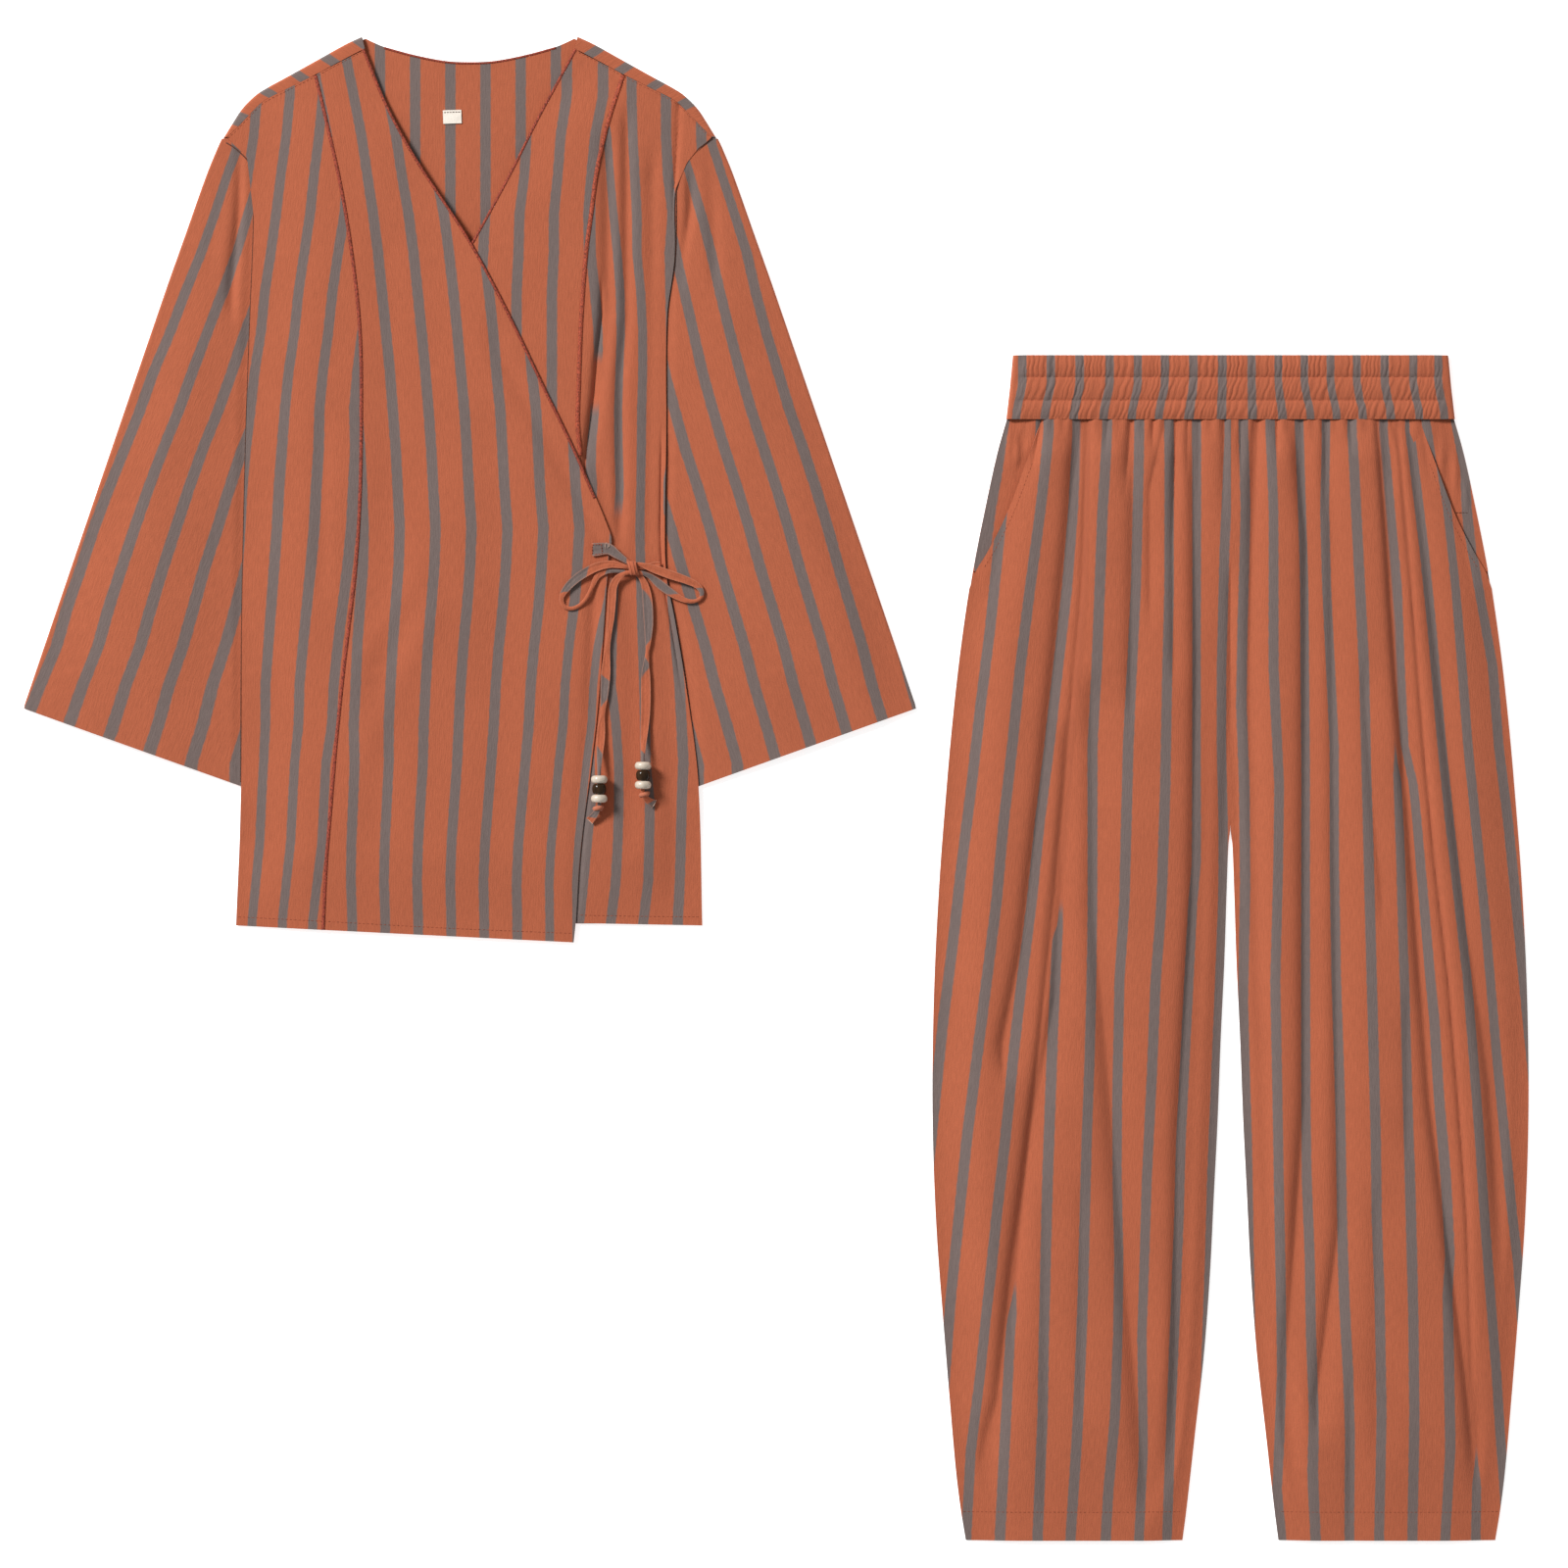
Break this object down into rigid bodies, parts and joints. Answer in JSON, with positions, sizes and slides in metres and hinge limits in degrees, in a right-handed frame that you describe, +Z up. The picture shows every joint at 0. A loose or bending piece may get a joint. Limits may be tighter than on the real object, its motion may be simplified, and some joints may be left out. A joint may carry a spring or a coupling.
{
  "type": "co-ord set",
  "caption": "Striped co-ord set laid flat: wrap jacket with wide sleeves, a tied waist bow and beaded tie ends, beside barrel-leg trousers with an elastic waistband.",
  "frame": {"origin": "on the surface that the set lies on, at the middle of the set's outline", "axes": "+Z is up, out of the garments' fronts; +Y runs from the hems to the shoulders and waist; +X runs from the jacket to the trousers"},
  "size_m": [1.2273, 1.2261, 0.0229],
  "materials": {
    "striped_cloth": "matt crinkled cotton, terracotta with soft grey stripes",
    "cream_bead": "satin cream lacquer",
    "dark_bead": "glossy dark brown",
    "label_tape": "smooth cream tape"
  },
  "bodies": {
    "root": {"jacket_back": "striped_cloth", "jacket_front_right": "striped_cloth", "jacket_side_right": "striped_cloth", "jacket_front_left": "striped_cloth", "jacket_side_left": "striped_cloth", "jacket_sleeve_right": "striped_cloth", "jacket_sleeve_left": "striped_cloth", "size_label": "label_tape", "tie_right": "striped_cloth", "tie_left": "striped_cloth", "tie_knot": "striped_cloth", "bead_upper_right": "cream_bead", "bead_middle_right": "dark_bead", "bead_lower_right": "cream_bead", "bead_upper_left": "cream_bead", "bead_middle_left": "dark_bead", "bead_lower_left": "cream_bead", "trousers_front_right": "striped_cloth", "trousers_front_left": "striped_cloth", "trousers_back_right": "striped_cloth", "trousers_back_left": "striped_cloth", "pocket_facing_right": "striped_cloth", "pocket_facing_left": "striped_cloth", "trousers_waistband": "striped_cloth"}
  },
  "joints": []
}
